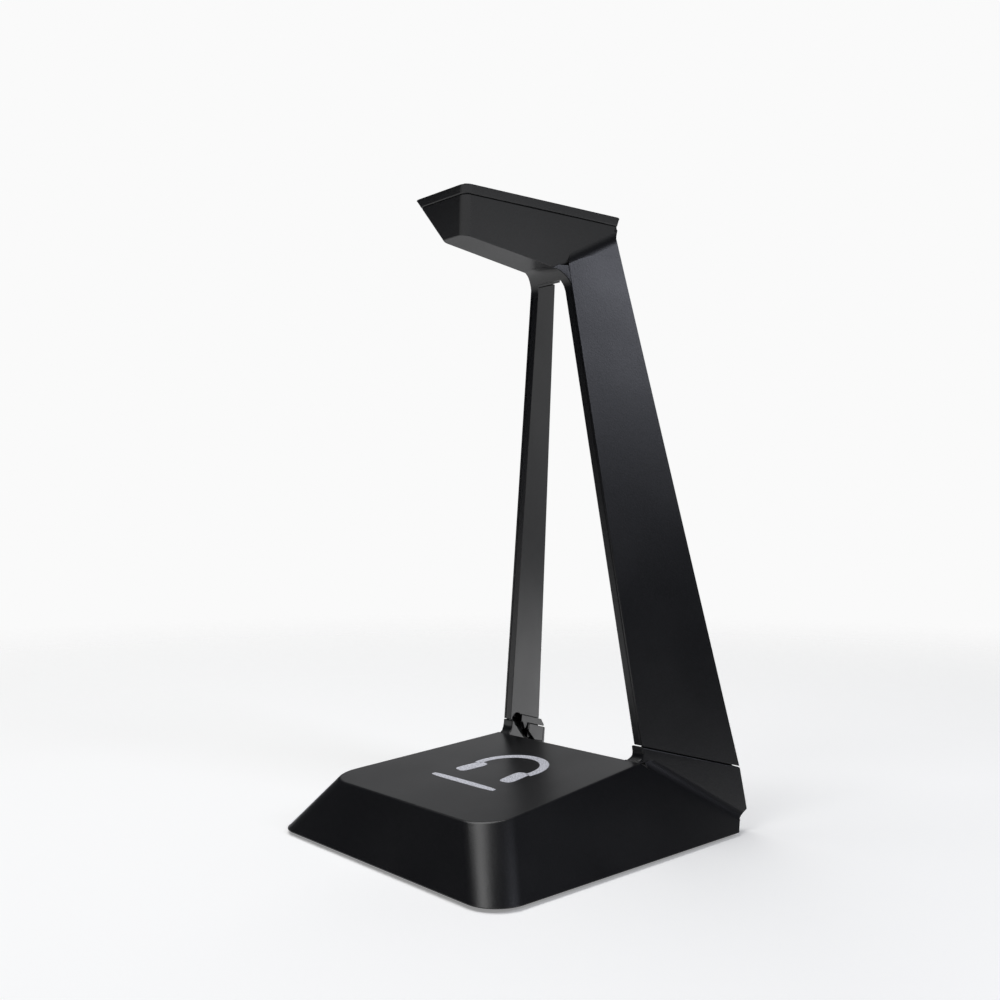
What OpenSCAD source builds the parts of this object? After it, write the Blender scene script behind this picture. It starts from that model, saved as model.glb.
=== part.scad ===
// Headphone stand: a weighted base with two leg stubs, and an A-shaped upright
// that plugs onto them and carries a forward-reaching cradle.
// +Z is up, the front is -Y, and the stand is symmetric about X = 0.
// The origin is on the floor, in the middle of the stand's width and depth.

/* [Base] */
// Width of the base at its front bottom edge
base_w = 130; // [126:1:134]
// Width of the base at its rear bottom edge
base_rear_w = 126; // [124:1:128]
// Depth of the base's bottom, front edge to rear edge
base_d = 129; // [127:0.5:131]
// Height of the base's top above its rim, at the front
base_h = 20.5; // [19:0.5:22]
// Depth of the base's top, from the front face to its rear edge
base_top_d = 84.6; // [83:0.2:86]
// Rise of the base's top towards the back, in degrees
base_top_tilt = 4.9; // [4:0.1:6]
// Lean of the side walls from upright, in degrees
side_draft = 39; // [37:0.5:40]
// Lean of the front wall from upright, in degrees
front_draft = 31; // [28:0.5:33]
// Radius of the base's front corners
base_corner_r = 12.5; // [9:0.5:14]
// Wall of the base shell, measured level
base_wall = 2.5; // [2:0.1:3]

/* [Legs] */
// Height of the legs' joint line above the floor, on the line Y = 0
seam_h = 43.4; // [42.5:0.1:44.5]
// Fall of the joint line towards the back, in degrees
seam_fall = 15.4; // [15:0.1:16]
// Turn of the legs' outer faces away from straight ahead, in degrees
leg_flare = 24.3; // [24:0.1:24.6]
// Inward lean of the legs, in degrees
leg_lean = 7.35; // [7.2:0.05:7.5]
// Thickness of a leg, across the stand
leg_t = 4.3; // [4.1:0.1:4.8]
// Depth of a leg's rear bevel
leg_bevel = 5.5; // [4:0.5:6]

/* [Cradle] */
// Height of the stand without its grip pad
cradle_top = 245; // [244:0.5:247]
// Height of the cradle's underside at its front
cradle_low = 229; // [228:0.5:230]
// Half the width of the cradle's underside at its front
cradle_half = 7.1; // [6.8:0.1:8]
// Spread of the cradle's side walls from upright, in degrees
cradle_spread = 29; // [26:1:31]
// Wall of the cradle
cradle_wall = 2.2; // [2:0.1:2.6]

/* [Hidden] */

far = 300;
thin = 0.01;
gap = 0.35; // between the upright and the base
fit = 0.15; // between parts of one body

// Heights and depths of the base
front_y = -69;
rim_z = 1.5;
base_rear_y = front_y + base_d;
top_front_y = front_y + base_h * tan(front_draft);
top_rear_y = top_front_y + base_top_d;
rear_corner_r = 1;
plate_z = 2.0;
plate_t = 2.5;
ballast_t = 4;
foot_r = 8;
foot_t = 2.6;
foot_x = 47;
foot_front_y = -54;
foot_rear_y = 44;
screw_x = 36;
screw_front_y = -46;
screw_rear_y = 16;
boss_r = 4;
bore_r = 1.5;
screw_head_r = 2.8;
screw_head_t = 1.2;
screw_sunk = 0.1; // below the face that the screw goes in from

// The legs' planes and edges
flare_k = tan(leg_flare);
lean_k = tan(leg_lean);
leg_x0 = 30.8;
front_edge_y0 = 32.0;
front_edge_k = 0.055;
rear_edge_y0 = 70.6;
rear_edge_k = 0.13;
seam_k = tan(seam_fall);
stub_proud = 0.2;
stub_side_r = 7;
stub_front_r = 3.5;
socket_skin = 1.7;
socket_inner = 4.6;
stub_inner = 5.6;
socket_depth = 7;
socket_front_y = 48.5;
heel_y = 68.7;
heel_z = 8.4;
flank_reach = 20; // how far the base's side is carried on behind its rear edge, at most
rib_skin = 0.9; // depth of the locating rib below the outer face
rib_t = 0.7;
rib_h = 1.2;
rib_room = 0.35;
rib_front_y = 30.9;
rib_rear_y = 65;
inner_reach = 20; // how far in from a leg's outer face its cuts go
web_z = 219.9;
web_rise = 0.3; // of the neck's underside, per millimetre to the back
web_lip = 1; // depth of the neck's two edges below its underside, over the leg covers

// The tongue, lip and tooth of a foot clip, and the slot beside them
tongue_t = 1.1;
tongue_depth = 5;
tongue_skin = 2.5;
tongue_front_y = 50;
tongue_rear_y = 62;
lip_front_y = 40.4;
lip_h = 3.2;
lip_proud = 0.8;
tooth_y = 41.2;
tooth_w = 5.7;
tooth_z = 28.2;
shell_edge = 0.9;
shell_t = 2.3;
rebate = 1.3;
slot_r = 2.3;
slot_y = 36.6;
slot_z = 32.7;
slot_fall = 36.5;
slot_len = 22;
slot_head_a = 5.4;
slot_head_b = 3.0;
slot_head_y = 36.6;
slot_head_z = 33.9;

// The cradle
cradle_front_y = -32.2;
under_k = 0.114;
overhang_k = 0.41;
widen_k = 0.02;
cover_t = 3;
pad_t = 2;
pad_sunk = 1;
pad_inset = 3.2;
pad_corner_r = 2;
throat_r = 8;
cradle_corner_r = 3.5;
cradle_rear_r = 2;
cradle_side_r = 8;
cradle_bosses = [[0, -22], [-9, 22], [9, 22]];
top_nose_y = cradle_front_y - overhang_k * (cradle_top - cradle_low);
top_tail_y = rear_edge_y0 - rear_edge_k * cradle_top;

function top_z(y) = rim_z + base_h + tan(base_top_tilt) * (y - top_front_y);
function base_half(y, z) =
    base_w / 2 - (z - rim_z) * tan(side_draft)
    - (base_w - base_rear_w) / 2 * (y - front_y - base_corner_r) / base_d;
function leg_x(y, z) = leg_x0 + flare_k * y - lean_k * z;
function leg_front(z) = front_edge_y0 - front_edge_k * z;
function leg_rear(z) = rear_edge_y0 - rear_edge_k * z;
function seam_z(y) = seam_h - seam_k * y;
function under_z(y) = cradle_low - under_k * (y - cradle_front_y);
function cradle_x(y, z) =
    cradle_half + widen_k * (y - cradle_front_y) + tan(cradle_spread) * (z - under_z(y));

module both_sides() {
    children();
    mirror([1, 0, 0]) children();
}

// Extrudes a side view, drawn as [y, z], across the stand
module across(width = 2 * far) {
    rotate([90, 0, 90]) linear_extrude(height = width, center = true) children();
}

// A thin disc in one corner of an outline: it touches the side at half and has its middle at y
module corner_disc(half, y, r, z, h = thin, tilt = 0) {
    translate([half - r, y, z]) rotate([tilt, 0, 0]) cylinder(r = r, h = h, $fn = 64);
}

// The base's outer form, or its hollow when every face moves in by inset;
// a reach carries its sides on behind the rear edge
module base_form(inset, reach = 0) {
    r_front = base_corner_r - inset;
    r_rear = max(rear_corner_r - inset, 0.5);
    skirt = inset > 0 ? 3 : 0;
    low_front = front_y + inset + r_front;
    low_rear = base_rear_y + reach - inset - r_rear;
    high_front = top_front_y + inset + r_front;
    high_rear = top_rear_y + reach - inset - r_rear;
    hull() both_sides() {
        corner_disc(base_half(low_front, rim_z) - inset, low_front, r_front, rim_z - skirt, skirt + thin);
        corner_disc(base_half(low_rear, rim_z) - inset, low_rear, r_rear, rim_z - skirt, skirt + thin);
        corner_disc(base_half(high_front, top_z(high_front) - inset) - inset, high_front, r_front,
            top_z(high_front) - inset, tilt = base_top_tilt);
        corner_disc(base_half(high_rear, top_z(high_rear) - inset) - inset, high_rear, r_rear,
            top_z(high_rear) - inset, tilt = base_top_tilt);
    }
}

// A flat slab that lies between two depths below the right leg's outer face
module leg_slab(skin_a, skin_b) {
    level = 1 / norm([1, flare_k, lean_k]);
    translate([leg_x0, 0, 0]) rotate([0, -asin(lean_k * level), -leg_flare])
        translate([-skin_b * level, -far, -far]) cube([(skin_b - skin_a) * level, 2 * far, 2 * far]);
}

// A level slice of the right leg between two depths below its outer face;
// the rear bevel makes it shorter as it gets deeper
module leg_slice(z, skin_a, skin_b, edge) {
    f = leg_front(z) + edge;
    r_a = leg_rear(z) - edge - leg_bevel * skin_a / leg_t;
    r_b = leg_rear(z) - edge - leg_bevel * skin_b / leg_t;
    translate([0, 0, z]) linear_extrude(height = thin) polygon([
        [leg_x(f, z) - skin_a, f],
        [leg_x(r_a, z) - skin_a, r_a],
        [leg_x(r_b, z) - skin_b, r_b],
        [leg_x(f, z) - skin_b, f]
    ]);
}

module leg_blade(z0, z1, skin_a, skin_b, edge = 0) {
    hull() {
        leg_slice(z0, skin_a, skin_b, edge);
        leg_slice(z1, skin_a, skin_b, edge);
    }
}

// Rounds out the hollow corner between two faces that meet at a point,
// whose outward directions are out_a and out_b
module hollow_round(out_a, out_b, at, r) {
    a = out_a / norm(out_a);
    b = out_b / norm(out_b);
    along = cross(a, b) / norm(cross(a, b));
    side = cross(along, a);
    turn = acos(a * b);
    multmatrix([
        [a[0], side[0], along[0], at[0]],
        [a[1], side[1], along[1], at[1]],
        [a[2], side[2], along[2], at[2]]
    ]) linear_extrude(height = 120, center = true) polygon(concat(
        [[-0.5 * (1 + cos(turn)), -0.5 * sin(turn)]],
        [for (i = [0:8]) [r - r * cos(turn * i / 8), r * tan(turn / 2) - r * sin(turn * i / 8)]]
    ));
}

// The band of space between two heights above the joint line
module seam_band(low, high = far) {
    across() polygon([
        [-far, seam_z(-far) + low], [far, seam_z(far) + low],
        [far, seam_z(far) + high], [-far, seam_z(-far) + high]
    ]);
}

// The slot beside the clip, with an oval head
module release_slot() {
    translate([0, slot_head_y, slot_head_z]) rotate([-seam_fall, 0, 0]) rotate([90, 0, 90])
        linear_extrude(height = far)
            polygon([for (a = [0:7.5:352.5]) [slot_head_a * cos(a), slot_head_b * sin(a)]]);
    translate([0, slot_y, slot_z]) rotate([-slot_fall, 0, 0])
        translate([0, 0, -slot_r]) cube([far, slot_len, 2 * slot_r]);
}

// The step that leaves room for the clip's tooth
module tooth_notch() {
    translate([0, tooth_y - gap, tooth_z - 0.6]) cube([far, tooth_w + 2 * gap, far]);
}

// The stub's outline from the side: the joint line above, the lifted heel at the back
module stub_outline() {
    front = leg_front(seam_z(front_edge_y0)) - stub_proud;
    rear_high = leg_rear(seam_z(heel_y)) + stub_proud;
    across() polygon([
        [front, rim_z], [base_rear_y, rim_z], [heel_y, heel_z],
        [rear_high, seam_z(rear_high) - gap / 2], [front, seam_z(front) - gap / 2]
    ]);
}

module stub() {
    front = leg_front(seam_z(front_edge_y0)) - stub_proud;
    intersection() {
        leg_slab(-stub_proud, stub_inner);
        union() {
            stub_outline();
            hollow_round([0, -1, 0], [0, -tan(base_top_tilt), 1], [0, front, top_z(front)], stub_front_r);
        }
    }
    intersection() {
        base_form(0, flank_reach);
        leg_slab(-flank_reach, stub_inner);
        stub_outline();
    }
    stub_side_round();
}

// The long hollow curve between the base's side and the stub's outer face
module stub_side_round() {
    taper = (base_w - base_rear_w) / 2 / base_d;
    z = top_z(front_edge_y0);
    y = (base_half(0, z) - leg_x(0, z) - stub_proud) / (flare_k + taper);
    intersection() {
        hollow_round([1, taper, tan(side_draft)], [1, -flare_k, lean_k], [base_half(y, z), y, z], stub_side_r);
        stub_outline();
        across() polygon([[-far, -far], [far, -far], [far, top_z(far)], [-far, top_z(-far)]]);
    }
}

// The pocket's outline from the side, for the tongue and the cover that closes it
module socket_outline(shrink) {
    front = socket_front_y + shrink;
    rear = leg_rear(seam_z(leg_rear(0))) - 2 - shrink;
    depth = socket_depth - shrink;
    across() polygon([
        [front, seam_z(front) - depth], [rear, seam_z(rear) - depth],
        [rear, seam_z(rear) + 5], [front, seam_z(front) + 5]
    ]);
}

// The rib along a stub's top that locates the upright and closes the view through the joint
module seam_rib(skin_a, skin_b, room = 0) {
    front = rib_front_y - room;
    rear = rib_rear_y + room;
    intersection() {
        leg_slab(skin_a, skin_b);
        across() polygon([
            [front, seam_z(front) - 1], [rear, seam_z(rear) - 1],
            [rear, seam_z(rear) + rib_h + room], [front, seam_z(front) + rib_h + room]
        ]);
    }
}

// The groove for that rib in the upright
module rib_groove() {
    seam_rib(rib_skin - rib_room, shell_t + fit, rib_room);
}

module plate_screw_places() {
    for (y = [screw_front_y, screw_rear_y]) both_sides() translate([screw_x, y, 0]) children();
}

module base_shell() color([0.11, 0.11, 0.12]) difference() {
    union() {
        base_form(0);
        both_sides() {
            stub();
            seam_rib(rib_skin, rib_skin + rib_t);
        }
    }
    difference() {
        base_form(base_wall);
        plate_screw_places() translate([0, 0, plate_z + plate_t + ballast_t]) cylinder(r = boss_r, h = 40, $fn = 48);
    }
    plate_screw_places() translate([0, 0, rim_z]) cylinder(r = bore_r, h = 17, $fn = 32);
    both_sides() intersection() {
        leg_slab(socket_skin, inner_reach);
        union() {
            socket_outline(0);
            release_slot();
            tooth_notch();
        }
    }
}

module bottom_plate() color([0.13, 0.13, 0.14]) difference() {
    intersection() {
        base_form(base_wall + fit);
        translate([-far / 2, -far / 2, plate_z]) cube([far, far, plate_t]);
    }
    plate_screw_places() {
        cylinder(r = bore_r + 0.1, h = 10, $fn = 32);
        translate([0, 0, plate_z - 1]) cylinder(r = screw_head_r + 0.3, h = 1 + screw_sunk + screw_head_t, $fn = 48);
    }
    foot_places() cylinder(r = foot_r + fit, h = foot_t, $fn = 64);
}

module ballast_plate() color([0.6, 0.61, 0.62]) difference() {
    translate([-44, screw_front_y - 8, plate_z + plate_t])
        cube([88, screw_rear_y - screw_front_y + 16, ballast_t]);
    plate_screw_places() cylinder(r = bore_r + 0.3, h = 20, $fn = 32);
}

module flat_head_screw(head_z, length) {
    translate([0, 0, head_z]) difference() {
        union() {
            cylinder(r = screw_head_r, h = screw_head_t, $fn = 48);
            cylinder(r = bore_r - 0.05, h = length, $fn = 32);
        }
        for (turn = [0, 90]) rotate([0, 0, turn]) translate([-1.6, -0.35, -1]) cube([3.2, 0.7, 1.8]);
    }
}

module bottom_plate_screws() color([0.75, 0.75, 0.77])
    plate_screw_places() flat_head_screw(plate_z + screw_sunk, 14);

module foot_places() {
    both_sides() {
        translate([foot_x, foot_front_y, 0]) children();
        translate([foot_x, foot_rear_y, 0]) children();
    }
}

module foot(x, y) color([0.07, 0.07, 0.07])
    translate([x, y, 0]) cylinder(r = foot_r, h = foot_t, $fn = 64);

// Closes the socket from inside; the tongue slides behind it
module socket_cover() color([0.15, 0.15, 0.16]) difference() {
    intersection() {
        leg_slab(socket_inner, stub_inner);
        socket_outline(fit);
        stub_outline();
    }
    release_slot();
}

// One leg's outer half, above the joint line: a thin edge round a thicker middle
module leg_shell() {
    difference() {
        intersection() {
            union() {
                leg_blade(15, web_z + 10, 0, shell_edge);
                leg_blade(15, web_z + 10, 0, shell_t, rebate);
            }
            seam_band(gap / 2);
        }
        rib_groove();
    }
}

// The space between two planes that lie as deep as skin in both legs
module within_legs(skin) {
    intersection() {
        leg_slab(skin, far);
        mirror([1, 0, 0]) leg_slab(skin, far);
    }
}

function web_under(y) = web_z + web_rise * (y - leg_front(web_z));

// Everything lower than the neck's underside by at least a drop
module below_web(drop) {
    across() polygon([
        [-far, -far], [far, -far], [far, web_under(far) - drop], [-far, web_under(-far) - drop]
    ]);
}

// The neck that joins the legs under the cradle, with a hollow curve at its front
module neck() {
    corner_z = under_z(leg_front(web_z));
    corner_y = leg_front(corner_z);
    neck_top = cradle_top - cover_t - 1;
    front_z = web_z - web_lip;
    rear_z = web_under(leg_rear(web_z)) - web_lip;
    intersection() {
        within_legs(0);
        across() polygon(concat(
            [for (a = [0:7.5:90]) [
                corner_y - throat_r + throat_r * sin(a) + front_edge_k * throat_r * (1 - cos(a)),
                corner_z - throat_r + throat_r * cos(a) + under_k * throat_r * (1 - sin(a))
            ]],
            [
                [leg_front(front_z), front_z], [leg_rear(rear_z), rear_z],
                [leg_rear(neck_top), neck_top], [leg_front(neck_top), neck_top],
                [corner_y, corner_z + 2], [corner_y - throat_r, corner_z + 2]
            ]
        ));
    }
}

// The cradle's outer form, or its hollow when every wall moves in by inset
module cradle_form(inset) {
    r_front = cradle_corner_r - inset / 2;
    tilt = -atan(under_k);
    low_front = cradle_front_y + inset + r_front;
    low_rear = leg_rear(web_z) - inset - cradle_rear_r;
    high_front = top_nose_y + inset + r_front;
    high_rear = top_tail_y - inset - cradle_rear_r;
    hull() both_sides() {
        corner_disc(cradle_x(low_front, under_z(low_front) + inset) - inset, low_front, r_front,
            under_z(low_front) + inset, tilt = tilt);
        corner_disc(cradle_x(low_rear, under_z(low_rear) + inset) - inset, low_rear, cradle_rear_r,
            under_z(low_rear) + inset, tilt = tilt);
        corner_disc(cradle_x(high_front, cradle_top) - inset, high_front, r_front, cradle_top);
        corner_disc(cradle_x(high_rear, cradle_top) - inset, high_rear, cradle_rear_r, cradle_top);
    }
}

// The hollow curve between the cradle's side and the leg's outer face
module cradle_side_round() {
    slope = [cradle_x(0, 0), cradle_x(1, 0) - cradle_x(0, 0), tan(cradle_spread)];
    y = leg_rear(web_z);
    z = (leg_x(y, 0) - slope[0] - slope[1] * y) / (slope[2] + lean_k);
    intersection() {
        hollow_round([1, -flare_k, lean_k], [1, -slope[1], -slope[2]], [leg_x(y, z), y, z], cradle_side_r);
        across() polygon([
            [leg_front(web_z), web_z], [leg_rear(web_z), web_z],
            [leg_rear(cradle_top), cradle_top - cover_t], [leg_front(cradle_top), cradle_top - cover_t]
        ]);
    }
}

module cradle_layer(inset, z0, z1) {
    intersection() {
        cradle_form(inset);
        translate([-far / 2, -far / 2, z0]) cube([far, far, z1 - z0]);
    }
}

module cradle_boss_places() {
    for (place = cradle_bosses) translate([place[0], place[1], 0]) children();
}

module upright_frame() color([0.11, 0.11, 0.12]) difference() {
    union() {
        cradle_layer(0, cradle_low - 20, cradle_top - cover_t);
        both_sides() {
            leg_shell();
            cradle_side_round();
        }
        neck();
    }
    intersection() {
        within_legs(leg_t);
        below_web(0);
    }
    difference() {
        cradle_form(cradle_wall);
        below_web(-cradle_wall);
        cradle_boss_places() translate([0, 0, cradle_low - 20]) cylinder(r = boss_r - 0.8, h = 50, $fn = 48);
    }
    cradle_boss_places() translate([0, 0, cradle_top - cover_t - 9]) cylinder(r = bore_r, h = 20, $fn = 32);
}

// One leg's inner half, with the edge strip that shows from the front
module leg_cover() color([0.16, 0.16, 0.17]) difference() {
    intersection() {
        leg_blade(15, web_z + 10, shell_edge + fit, leg_t);
        seam_band(gap / 2);
        below_web(web_lip + fit);
    }
    leg_blade(10, web_z + 15, -1, shell_t + fit, rebate - fit);
    rib_groove();
    clip_seat(lip_front_y - fit, lip_h + fit);
    intersection() {
        leg_slab(shell_t, inner_reach);
        release_slot();
    }
}

// The room that a foot clip takes above the joint line
module clip_seat(front, height) {
    intersection() {
        leg_slab(shell_t + fit, leg_t + lip_proud);
        across() polygon([
            [front, seam_z(front) + gap / 2], [far, seam_z(far) + gap / 2],
            [far, seam_z(far) + height], [front, seam_z(front) + height]
        ]);
    }
}

// The block at a leg's foot: a lip along the joint, a tooth, and a tongue for the socket
module foot_clip() color([0.18, 0.18, 0.19]) {
    seat_z = seam_z((tongue_front_y + tongue_rear_y) / 2);
    lip_rear = leg_rear(seat_z) - 0.3;
    difference() {
        union() {
            intersection() {
                clip_seat(lip_front_y, lip_h);
                across() polygon([
                    [0, 0], [lip_rear, 0], [lip_rear, seam_z(lip_rear) + 1],
                    [lip_rear - leg_bevel + 1, seam_z(lip_rear) + 5], [lip_rear - leg_bevel + 1, far], [0, far]
                ]);
            }
            intersection() {
                leg_slab(shell_t + fit, leg_t + lip_proud);
                across() polygon([
                    [tooth_y, seam_z(tooth_y) + 1], [tooth_y + tooth_w, seam_z(tooth_y + tooth_w) + 1],
                    [tooth_y + tooth_w, tooth_z + 1.2], [tooth_y + tooth_w - 2, tooth_z]
                ]);
            }
            translate([0, 0, seat_z - tongue_depth]) linear_extrude(height = tongue_depth + 1.5) polygon([
                for (corner = [[tongue_front_y, 0], [tongue_rear_y, 0], [tongue_rear_y, 1], [tongue_front_y, 1]])
                    [leg_x(corner[0], seat_z) - tongue_skin - corner[1] * tongue_t, corner[0]]
            ]);
        }
        leg_slab(-5, shell_t + fit);
    }
}

module pad_outline(inset, z, h) {
    front = top_nose_y + inset + pad_corner_r;
    rear = top_tail_y - inset - pad_corner_r;
    hull() both_sides() {
        corner_disc(cradle_x(front, cradle_top) - inset, front, pad_corner_r, z, h);
        corner_disc(cradle_x(rear, cradle_top) - inset, rear, pad_corner_r, z, h);
    }
}

module cradle_cover() color([0.12, 0.12, 0.13]) difference() {
    cradle_layer(0, cradle_top - cover_t + fit / 2, cradle_top + 1);
    pad_outline(pad_inset, cradle_top - pad_sunk, pad_sunk + 1);
    cradle_boss_places() {
        translate([0, 0, cradle_top - cover_t - 1]) cylinder(r = bore_r + 0.1, h = 10, $fn = 32);
        translate([0, 0, cradle_top - pad_sunk - screw_sunk - screw_head_t])
            cylinder(r = screw_head_r + 0.3, h = 5, $fn = 48);
    }
}

module cradle_grip_pad() color([0.22, 0.22, 0.23])
    pad_outline(pad_inset + fit, cradle_top - pad_sunk, pad_t);

module cradle_screws() color([0.75, 0.75, 0.77])
    cradle_boss_places() mirror([0, 0, 1]) flat_head_screw(-(cradle_top - pad_sunk - screw_sunk), 10);

base_shell();
bottom_plate();
ballast_plate();
bottom_plate_screws();
foot(-foot_x, foot_front_y);  // foot_front_left
foot(foot_x, foot_front_y);  // foot_front_right
foot(-foot_x, foot_rear_y);  // foot_rear_left
foot(foot_x, foot_rear_y);  // foot_rear_right
mirror([1, 0, 0]) socket_cover();  // left_socket_cover
socket_cover();  // right_socket_cover
upright_frame();
mirror([1, 0, 0]) leg_cover();  // left_leg_cover
leg_cover();  // right_leg_cover
mirror([1, 0, 0]) foot_clip();  // left_foot_clip
foot_clip();  // right_foot_clip
cradle_cover();
cradle_grip_pad();
cradle_screws();
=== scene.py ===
import math

import bmesh
import bpy
import numpy as np
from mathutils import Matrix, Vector
from mathutils.bvhtree import BVHTree
from mathutils.kdtree import KDTree


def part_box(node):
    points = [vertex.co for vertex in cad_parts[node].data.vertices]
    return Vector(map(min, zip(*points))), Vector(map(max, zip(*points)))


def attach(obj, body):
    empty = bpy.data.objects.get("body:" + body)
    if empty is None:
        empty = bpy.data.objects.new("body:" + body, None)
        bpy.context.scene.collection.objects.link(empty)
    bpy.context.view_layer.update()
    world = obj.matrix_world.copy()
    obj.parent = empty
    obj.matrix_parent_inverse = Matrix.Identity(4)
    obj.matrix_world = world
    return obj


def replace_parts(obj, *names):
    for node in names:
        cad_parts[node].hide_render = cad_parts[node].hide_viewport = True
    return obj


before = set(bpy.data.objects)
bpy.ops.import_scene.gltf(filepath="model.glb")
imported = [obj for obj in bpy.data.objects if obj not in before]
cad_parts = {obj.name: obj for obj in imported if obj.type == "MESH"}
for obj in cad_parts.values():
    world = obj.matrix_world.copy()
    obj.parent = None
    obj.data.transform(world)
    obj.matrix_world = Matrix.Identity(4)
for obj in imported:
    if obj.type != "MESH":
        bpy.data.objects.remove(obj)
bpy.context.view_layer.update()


# ---------------------------------------------------------------- Camera
# It stands to the right of the front, level with the middle of the stand, and looks very slightly up.
# A 39 mm lens from 0.43 m gives the stand its strong, close perspective.

def from_bearing(azimuth, elevation):
    """Unit vector towards a bearing: azimuth 0 is the front (-Y) and 90 the right (+X)."""
    a, e = math.radians(azimuth), math.radians(elevation)
    return Vector((math.sin(a) * math.cos(e), -math.cos(a) * math.cos(e), math.sin(e)))


camera_data = bpy.data.cameras.new("camera")
camera = bpy.data.objects.new("camera", camera_data)
bpy.context.scene.collection.objects.link(camera)
bpy.context.scene.camera = camera
camera_data.lens = 38.89
camera_data.sensor_width = 36
camera_data.shift_x = -0.0037
camera_data.shift_y = 0.0008
camera.location = (0.3150, -0.2894, 0.1230)
camera.rotation_mode = "QUATERNION"
camera.rotation_quaternion = (-from_bearing(48.03, -0.948)).to_track_quat("-Z", "Y")
bpy.context.scene.view_settings.view_transform = "Standard"


# ---------------------------------------------------------------- Studio
# A plain pale floor that fades into a plain pale background, and soft panels all round it.
# Black satin plastic shows mostly what it reflects, so each panel stands where one face mirrors it.

def to_linear(hex_code):
    """An sRGB hex colour as linear RGBA."""
    value = [int(hex_code[i:i + 2], 16) / 255 for i in (1, 3, 5)]
    return [c / 12.92 if c < 0.04045 else ((c + 0.055) / 1.055) ** 2.4 for c in value] + [1.0]


def add_node(tree, kind, settings=None, **inputs):
    """Adds a shader node, sets its properties and its inputs: in_3 is input number 3, and Base_Color the
    input of that name. An input given a socket is linked to it."""
    made = tree.nodes.new(kind)
    for key, value in (settings or {}).items():
        setattr(made, key, value)
    for key, value in inputs.items():
        socket = made.inputs[int(key[3:]) if key.startswith("in_") else key.replace("_", " ")]
        if isinstance(value, bpy.types.NodeSocket):
            tree.links.new(value, socket)
        else:
            socket.default_value = value
    return made


def soft_panel(name, azimuth, elevation, distance, width, height, radiance, tint="#ffffff"):
    """A soft box that faces the stand's middle from a bearing; radiance is how bright its face looks."""
    data = bpy.data.lights.new(name, "AREA")
    data.shape = "RECTANGLE"
    data.size, data.size_y = width, height
    data.energy = radiance * math.pi * width * height
    data.color = to_linear(tint)[:3]
    lamp = bpy.data.objects.new(name, data)
    bpy.context.scene.collection.objects.link(lamp)
    towards = from_bearing(azimuth, elevation)
    lamp.location = Vector((0, 0, 0.12)) + towards * distance
    lamp.rotation_mode = "QUATERNION"
    lamp.rotation_quaternion = towards.to_track_quat("Z", "Y")
    lamp.visible_camera = False


soft_panel("panel_right", 100, 34, 1.0, 0.36, 0.46, 4.2, "#eef1ff")
soft_panel("panel_front", 2, 49, 1.0, 0.36, 0.3, 3.6)
soft_panel("panel_back", -160, 12, 1.5, 3.0, 0.9, 0.36)
soft_panel("panel_top", -80, 72, 1.5, 1.6, 1.0, 3.4)

world = bpy.data.worlds.new("studio")
bpy.context.scene.world = world
world.use_nodes = True
world.node_tree.nodes.clear()
seen = add_node(world.node_tree, "ShaderNodeLightPath")
shade = add_node(world.node_tree, "ShaderNodeMix", {"data_type": "RGBA"}, in_0=seen.outputs["Is Camera Ray"],
                 in_6=to_linear("#2b2e33"), in_7=to_linear("#fafafa"))
glow = add_node(world.node_tree, "ShaderNodeBackground", Color=shade.outputs[2], Strength=1.0)
add_node(world.node_tree, "ShaderNodeOutputWorld", Surface=glow.outputs[0])

floor_r, floor_sides = 2.4, 64
fade_from, fade_to = 0.26, 1.0
floor_mesh = bpy.data.meshes.new("floor")
bearings = np.linspace(0, 2 * np.pi, floor_sides, endpoint=False)
floor_mesh.from_pydata([(floor_r * math.cos(a), floor_r * math.sin(a), 0) for a in bearings], [],
                       [range(floor_sides)])
floor = bpy.data.objects.new("floor", floor_mesh)
bpy.context.scene.collection.objects.link(floor)
paper = bpy.data.materials.new("lit_paper_matte")
paper.use_nodes = True
tree = paper.node_tree
tree.nodes.clear()
place = add_node(tree, "ShaderNodeTexCoord")
away = add_node(tree, "ShaderNodeVectorMath", {"operation": "LENGTH"}, in_0=place.outputs["Object"])
fade = add_node(tree, "ShaderNodeMapRange", {"interpolation_type": "SMOOTHSTEP"}, Value=away.outputs["Value"],
                From_Min=fade_from, From_Max=fade_to)
matte = add_node(tree, "ShaderNodeBsdfDiffuse", Color=to_linear("#f4f4f3"))
lit = add_node(tree, "ShaderNodeEmission", Color=to_linear("#ffffff"), Strength=0.26)
both = add_node(tree, "ShaderNodeAddShader", in_0=matte.outputs[0], in_1=lit.outputs[0])
clear = add_node(tree, "ShaderNodeBsdfTransparent")
blend = add_node(tree, "ShaderNodeMixShader", in_0=fade.outputs[0], in_1=both.outputs[0],
                 in_2=clear.outputs[0])
add_node(tree, "ShaderNodeOutputMaterial", Surface=blend.outputs[0])
floor_mesh.materials.append(paper)


# ---------------------------------------------------------------- Base shell
# The wedge-shaped body with its two leg stubs, one injection moulding in black ABS. The mould's steel was
# finely spark-eroded, which leaves a satin skin, and its edges are broken to a small radius.

MM = 0.001


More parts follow.
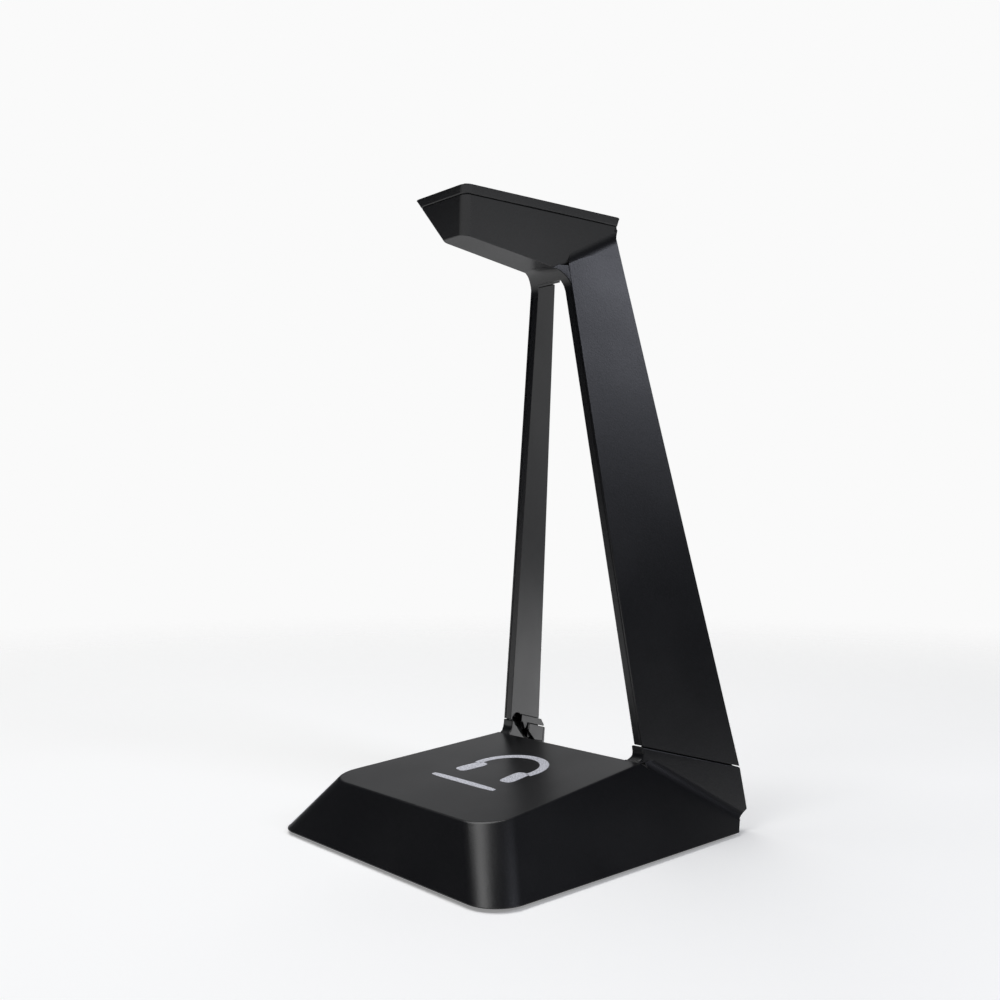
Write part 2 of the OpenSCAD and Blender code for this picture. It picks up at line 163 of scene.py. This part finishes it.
def moulded_plastic(name, tone, roughness, grain_mm, relief_mm, ior=1.53):
    """Eroded-mould plastic. The real grain is about 0.1 mm; it is drawn at grain_mm so that it shows."""
    made = bpy.data.materials.new(name)
    made.use_nodes = True
    tree = made.node_tree
    tree.nodes.clear()
    place = add_node(tree, "ShaderNodeTexCoord")
    grain = add_node(tree, "ShaderNodeTexNoise", Vector=place.outputs["Object"], Scale=1 / (grain_mm * MM),
                     Detail=2.0, Roughness=0.55)
    cloud = add_node(tree, "ShaderNodeTexNoise", Vector=place.outputs["Object"], Scale=1 / (35 * MM),
                     Detail=2.0)
    speck = add_node(tree, "ShaderNodeMapRange", Value=grain.outputs[0], From_Min=0.3, From_Max=0.7,
                     To_Min=0.6, To_Max=1.5)
    colour = add_node(tree, "ShaderNodeMix", {"data_type": "RGBA", "blend_type": "MULTIPLY"}, in_0=1.0,
                      in_6=to_linear(tone), in_7=speck.outputs[0])
    sheen = add_node(tree, "ShaderNodeMapRange", Value=cloud.outputs[0], From_Min=0.3, From_Max=0.7,
                     To_Min=roughness - 0.03, To_Max=roughness + 0.03)
    relief = add_node(tree, "ShaderNodeBump", Strength=1.0, Distance=relief_mm * MM, Height=grain.outputs[0])
    skin = add_node(tree, "ShaderNodeBsdfPrincipled", Base_Color=colour.outputs[2],
                    Roughness=sheen.outputs[0], IOR=ior, Normal=relief.outputs[0])
    add_node(tree, "ShaderNodeOutputMaterial", Surface=skin.outputs[0])
    return made


def points_of(mesh):
    """The mesh's vertices as an (n, 3) array."""
    flat = np.zeros(len(mesh.vertices) * 3)
    mesh.vertices.foreach_get("co", flat)
    return flat.reshape(-1, 3)


def add_piece(name, mesh, body, material):
    """Puts a finished mesh into the scene, riding on a CAD body."""
    piece = bpy.data.objects.new(name, mesh)
    bpy.context.scene.collection.objects.link(piece)
    mesh.materials.clear()
    mesh.materials.append(material)
    mesh.polygons.foreach_set("use_smooth", np.ones(len(mesh.polygons), bool))
    shading = piece.modifiers.new("shading", "WEIGHTED_NORMAL")
    shading.keep_sharp = True
    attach(piece, body)
    return piece


def soft_edged(name, node, body, material, radius_mm, segments=3):
    """A piece made from a merged copy of a CAD node: flat faces are joined up, and edges sharper than
    rounded_from are rounded to radius_mm. Where a corner has no room for that, its edges get a smaller
    radius or none. Edges that are still sharper than crisp_from are then shaded as sharp ones."""
    radius = radius_mm * MM
    flat_within, rounded_from, crisp_from = (math.radians(degrees) for degrees in (0.12, 25, 32))
    merge_within = 0.002 * MM
    stray_from = 0.6 * radius
    tries, softer_tries = 8, 2
    bm = bmesh.new()
    bm.from_mesh(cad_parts[node].data)
    bmesh.ops.remove_doubles(bm, verts=bm.verts, dist=merge_within)
    bmesh.ops.dissolve_limit(bm, angle_limit=flat_within, verts=bm.verts, edges=bm.edges)
    bm.normal_update()
    bm.verts.ensure_lookup_table()
    crisp = BVHTree.FromBMesh(bm)
    corners = KDTree(len(bm.verts))
    for corner in bm.verts:
        corners.insert(corner.co, corner.index)
    corners.balance()
    weight = bm.edges.layers.float.new("bevel_weight_edge")
    for edge in bm.edges:
        edge[weight] = float(edge.calc_face_angle(0) > rounded_from)
    mesh = bpy.data.meshes.new(name + "_crisp")
    trial = bpy.data.objects.new(name + "_crisp", mesh)
    bpy.context.scene.collection.objects.link(trial)
    rounding = trial.modifiers.new("edges", "BEVEL")
    rounding.limit_method = "WEIGHT"
    rounding.width = radius
    rounding.segments = segments
    rounding.use_clamp_overlap = False
    rounding.miter_outer = "MITER_ARC"
    for attempt in range(tries):
        bm.to_mesh(mesh)
        made = bpy.data.meshes.new_from_object(trial.evaluated_get(bpy.context.evaluated_depsgraph_get()))
        at = points_of(made)
        stray = np.array([crisp.find_nearest(point)[3] for point in at]) > stray_from
        if not stray.any():
            break
        ends = np.zeros(len(made.edges) * 2, int)
        made.edges.foreach_get("vertices", ends)
        ends = ends.reshape(-1, 2)
        beside = np.unique(ends[stray[ends].sum(axis=1) == 1])
        for point in at[beside[~stray[beside]]]:
            _, index, distance = corners.find(point)
            if distance < 3 * radius:
                for edge in bm.verts[index].link_edges:
                    edge[weight] *= 0.5 if attempt < softer_tries else 0.0
    for index in np.flatnonzero(stray):
        made.vertices[index].co = crisp.find_nearest(at[index])[0]
    bm.free()
    bpy.data.objects.remove(trial)
    bm = bmesh.new()
    bm.from_mesh(made)
    bmesh.ops.triangulate(bm, faces=[face for face in bm.faces if len(face.verts) > 4])
    for edge in bm.edges:
        edge.smooth = edge.calc_face_angle(0) < crisp_from
    bm.to_mesh(made)
    bm.free()
    made.name = name
    piece = add_piece(name, made, body, material)
    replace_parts(piece, node)
    return piece


abs_shell = moulded_plastic("abs_spark_eroded_satin", "#111113", 0.32, 0.6, 0.03)
base = soft_edged("moulded_base", "base_shell", "base", abs_shell, 0.6)


# ---------------------------------------------------------------- Printed mark
# A generic pad-printed headphone sign with a plain bar in front of it, in light grey ink on the base's top.
# The ink film stands a twentieth of a millimetre proud and has softly rounded shapes.

largest = max(base.data.polygons, key=lambda face: face.area if face.normal.z > 0.9 else 0)
top_normal, top_point = largest.normal.copy(), Vector(base.data.vertices[largest.vertices[0]].co)


def on_top(x, y, lift_mm):
    """Points lift_mm above the base's top plane, over x and y in millimetres."""
    rise = top_normal.x * (x * MM - top_point.x) + top_normal.y * (y * MM - top_point.y)
    return np.stack([x * MM, y * MM, top_point.z - rise / top_normal.z + lift_mm * MM], axis=-1)


def ink_shape(one_side, other_side):
    """Vertices and faces of a thin closed film between two rows of (x, y) points in millimetres: the rows
    are joined by strips above and below, by walls along both, and by a wall at each end."""
    film = 0.05
    rows = [on_top(side[:, 0], side[:, 1], lift) for lift in (film, -film) for side in (one_side, other_side)]
    n = len(one_side)
    i = np.arange(n - 1)
    top = np.stack([i, i + 1, n + i + 1, n + i], axis=1)
    below = np.stack([2 * n + i, 3 * n + i, 3 * n + i + 1, 2 * n + i + 1], axis=1)
    wall = np.stack([i + 1, i, 2 * n + i, 2 * n + i + 1], axis=1)
    far_wall = np.stack([n + i, n + i + 1, 3 * n + i + 1, 3 * n + i], axis=1)
    ends = np.array([[0, n, 3 * n, 2 * n], [2 * n - 1, n - 1, 3 * n - 1, 4 * n - 1]])
    return np.concatenate(rows), np.concatenate([top, below, wall, far_wall, ends])


def ink_band(centre, radius, half_width, start, stop):
    """A band along a circle: two arcs half_width inside and outside of radius."""
    a = np.radians(np.linspace(start, stop, 49))
    arc = np.stack([np.cos(a), np.sin(a)], axis=1)
    return ink_shape(centre + (radius + half_width) * arc, centre + (radius - half_width) * arc)


def ink_blob(centre, half_x, half_y, turn=0.0):
    """A rounded rectangle: the superellipse |x/half_x|^4 + |y/half_y|^4 = 1, turned by turn degrees."""
    x = np.sin(np.linspace(-np.pi / 2, np.pi / 2, 33))
    y = (1 - x ** 4) ** 0.25
    c, s = math.cos(math.radians(turn)), math.sin(math.radians(turn))
    turned = np.array([[c, s], [-s, c]])
    upper, lower = (np.stack([half_x * x, sign * half_y * y], axis=1) @ turned + centre for sign in (1, -1))
    return ink_shape(upper, lower)


mark = np.array([2.0, -6.0])
shapes = [
    ink_band(mark, 14.5, 1.8, -10, 190),
    ink_blob(mark + [-12.4, -7.6], 3.2, 6.2, -8),
    ink_blob(mark + [12.4, -7.6], 3.2, 6.2, 8),
    ink_blob(mark + [0, -22.5], 18.0, 1.5),
]
verts, faces = [], []
for shape_verts, shape_faces in shapes:
    faces += (shape_faces + sum(len(v) for v in verts)).tolist()
    verts.append(shape_verts)
mark_mesh = bpy.data.meshes.new("printed_mark")
mark_mesh.from_pydata(np.concatenate(verts).tolist(), [], faces)
bm = bmesh.new()
bm.from_mesh(mark_mesh)
bmesh.ops.remove_doubles(bm, verts=bm.verts, dist=0.001 * MM)
bmesh.ops.recalc_face_normals(bm, faces=bm.faces)
bm.to_mesh(mark_mesh)
bm.free()
ink = moulded_plastic("pad_print_ink_matte", "#d2d3da", 0.55, 0.5, 0.004, 1.5)
add_piece("printed_mark", mark_mesh, "base", ink)


# ---------------------------------------------------------------- Socket covers
# Small moulded plates that close the leg sockets from inside, pressed in flush with the stubs.
abs_inner = moulded_plastic("abs_spark_eroded_inner", "#131315", 0.36, 0.6, 0.03)
for side in ("left", "right"):
    soft_edged(f"moulded_{side}_socket_cover", f"{side}_socket_cover", "base", abs_inner,
               0.15, 2)


# ---------------------------------------------------------------- Bottom plate and its screws
# A flat moulded plate with recesses for the feet and screws. Four flat-head screws with zinc-plated,
# cross-slotted heads hold it, and the steel ballast plate above it, to the shell.

def plated_steel(name, tone, roughness):
    """Zinc-plated steel: bright grey, with the faint mottling of the bath every few millimetres."""
    made = bpy.data.materials.new(name)
    made.use_nodes = True
    tree = made.node_tree
    tree.nodes.clear()
    place = add_node(tree, "ShaderNodeTexCoord")
    mottle = add_node(tree, "ShaderNodeTexNoise", Vector=place.outputs["Object"], Scale=1 / (2.5 * MM),
                      Detail=3.0)
    gloss = add_node(tree, "ShaderNodeMapRange", Value=mottle.outputs[0], From_Min=0.3, From_Max=0.7,
                     To_Min=roughness - 0.06, To_Max=roughness + 0.08)
    tint = add_node(tree, "ShaderNodeMapRange", Value=mottle.outputs[0], From_Min=0.3, From_Max=0.7,
                    To_Min=0.86, To_Max=1.1)
    colour = add_node(tree, "ShaderNodeMix", {"data_type": "RGBA", "blend_type": "MULTIPLY"}, in_0=1.0,
                      in_6=to_linear(tone), in_7=tint.outputs[0])
    skin = add_node(tree, "ShaderNodeBsdfPrincipled", Base_Color=colour.outputs[2],
                    Roughness=gloss.outputs[0], Metallic=1.0)
    add_node(tree, "ShaderNodeOutputMaterial", Surface=skin.outputs[0])
    return made


abs_plate = moulded_plastic("abs_coarse_eroded_matte", "#161617", 0.5, 0.6, 0.03)
zinc = plated_steel("steel_zinc_plated", "#b9bcc2", 0.32)
soft_edged("moulded_bottom_plate", "bottom_plate", "base", abs_plate, 0.3)
soft_edged("pressed_ballast_plate", "ballast_plate", "base", zinc, 0.4)
soft_edged("plated_bottom_screws", "bottom_plate_screws", "base", zinc, 0.12, 2)


# ---------------------------------------------------------------- Feet
# Four self-adhesive discs of black rubber. Their moulded face has a shallow dish with grip rings in it,
# and the rim is rounded.

def turned(name, profile, centre, sides=72):
    """A profile of (radius, height) points turned about a vertical axis through centre, in metres. Both
    ends of the profile lie on the axis, so that the surface is closed by a fan at each."""
    angle = np.linspace(0, 2 * np.pi, sides, endpoint=False)
    r, z = profile[1:-1, 0], profile[1:-1, 1]
    shell = np.stack([centre[0] + r[:, None] * np.cos(angle), centre[1] + r[:, None] * np.sin(angle),
                      np.broadcast_to(z[:, None], (len(z), sides))], axis=-1).reshape(-1, 3)
    poles = [[centre[0], centre[1], profile[0, 1]], [centre[0], centre[1], profile[-1, 1]]]
    i, j = np.meshgrid(np.arange(len(r) - 1), np.arange(sides), indexing="ij")
    k = (j + 1) % sides
    quads = np.stack([i * sides + j, i * sides + k, (i + 1) * sides + k, (i + 1) * sides + j], axis=-1)
    ring = np.arange(sides)
    last = (len(r) - 1) * sides
    first_fan = np.stack([np.full(sides, len(shell)), (ring + 1) % sides, ring], axis=1)
    last_fan = np.stack([np.full(sides, len(shell) + 1), last + ring, last + (ring + 1) % sides], axis=1)
    mesh = bpy.data.meshes.new(name)
    mesh.from_pydata(np.concatenate([shell, poles]).tolist(), [],
                     quads.reshape(-1, 4).tolist() + first_fan.tolist() + last_fan.tolist())
    return mesh


rubber = moulded_plastic("rubber_moulded_matte", "#121212", 0.72, 0.5, 0.02, 1.5)
rim_r, dish_depth, ring_h, ring_pitch = 0.8 * MM, 0.35 * MM, 0.24 * MM, 1.6 * MM
for name in ("foot_front_left", "foot_front_right", "foot_rear_left", "foot_rear_right"):
    low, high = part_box(name)
    foot_r = (high.x - low.x) / 2
    radius = np.linspace(0, foot_r - rim_r, 60)
    dish = dish_depth * np.clip(1 - radius / (0.78 * foot_r), 0, 1) ** 0.5
    rings = ring_h / 2 * (1 + np.cos(2 * np.pi * radius / ring_pitch)) * (radius < 0.74 * foot_r)
    under = np.stack([radius, low.z + np.maximum(dish - rings, 0)], axis=1)
    bend = np.radians(np.linspace(-90, 0, 9))
    rim = np.stack([foot_r - rim_r + rim_r * np.cos(bend), low.z + rim_r + rim_r * np.sin(bend)], axis=1)
    over = np.array([[foot_r, high.z], [0, high.z]])
    mesh = turned("rubber_" + name, np.concatenate([under, rim[1:], over]), (low + high) / 2)
    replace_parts(add_piece("rubber_" + name, mesh, "base", rubber), name)


# ---------------------------------------------------------------- Upright
# The outer half of both legs, the neck and the cradle's body are one moulding in the same satin ABS.
# The legs' inner covers and foot clips are separate mouldings, snapped in from inside.
soft_edged("moulded_upright", "upright_frame", "upright", abs_shell, 0.4)
for side in ("left", "right"):
    soft_edged(f"moulded_{side}_leg_cover", f"{side}_leg_cover", "upright", abs_inner, 0.3)
    soft_edged(f"moulded_{side}_foot_clip", f"{side}_foot_clip", "upright", abs_inner, 0.25)


# ---------------------------------------------------------------- Cradle cover, its screws and the grip pad
# A moulded plate closes the cradle from above. Three screws hold it, and a silicone pad glued into its
# recess hides them. The pad is moulded with fine cross ribs, so that a headband doesn't slide.
soft_edged("moulded_cradle_cover", "cradle_cover", "upright", abs_shell, 0.5)
soft_edged("plated_cradle_screws", "cradle_screws", "upright", zinc, 0.12, 2)


def ribbed_pad(name, node, rib_pitch, rib_h, corner_r):
    """A closed pad lofted along Y through boxy sections, each the superellipse |x/w|^12 + |z/h|^12 = 1.
    w follows the node's tapering outline and its round corners; h rises and falls with the ribs."""
    along, around = 281, 56
    at = points_of(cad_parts[node].data)
    low, high = at.min(axis=0), at.max(axis=0)
    front_w = at[at[:, 1] < low[1] + 2.5 * corner_r, 0].max()
    rear_w = high[0]
    y = np.linspace(low[1], high[1], along)
    from_end = np.clip(np.minimum(y - low[1], high[1] - y), 1e-5, corner_r)
    w = front_w + (rear_w - front_w) * (y - low[1]) / (high[1] - low[1])
    w = w - corner_r + np.sqrt(corner_r ** 2 - (corner_r - from_end) ** 2)
    top = high[2] - rib_h * (1 - np.abs(np.cos(np.pi * y / rib_pitch)) ** 0.7)
    top = top - 0.5 * (corner_r - np.sqrt(corner_r ** 2 - (corner_r - from_end) ** 2)) * (corner_r > from_end)
    angle = np.linspace(0, 2 * np.pi, around, endpoint=False)
    across = np.sign(np.cos(angle)) * np.abs(np.cos(angle)) ** (1 / 6)
    up = np.sign(np.sin(angle)) * np.abs(np.sin(angle)) ** (1 / 6)
    middle, half = (top + low[2]) / 2, (top - low[2]) / 2
    rings = np.stack([w[:, None] * across, np.broadcast_to(y[:, None], (along, around)),
                      middle[:, None] + half[:, None] * up], axis=-1)
    i, j = np.meshgrid(np.arange(along - 1), np.arange(around), indexing="ij")
    k = (j + 1) % around
    corners = [i * around + j, (i + 1) * around + j, (i + 1) * around + k, i * around + k]
    quads = np.stack(corners, axis=-1).reshape(-1, 4)
    caps = [list(range(around)), list(range((along - 1) * around, along * around))[::-1]]
    mesh = bpy.data.meshes.new(name)
    mesh.from_pydata(rings.reshape(-1, 3).tolist(), [], quads.tolist() + caps)
    return mesh


silicone = moulded_plastic("silicone_moulded_matte", "#1d1d1e", 0.6, 0.4, 0.008, 1.42)
pad_mesh = ribbed_pad("silicone_grip_pad", "cradle_grip_pad", 2.6 * MM, 0.5 * MM, 2 * MM)
pad = add_piece("silicone_grip_pad", pad_mesh, "upright", silicone)
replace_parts(pad, "cradle_grip_pad")
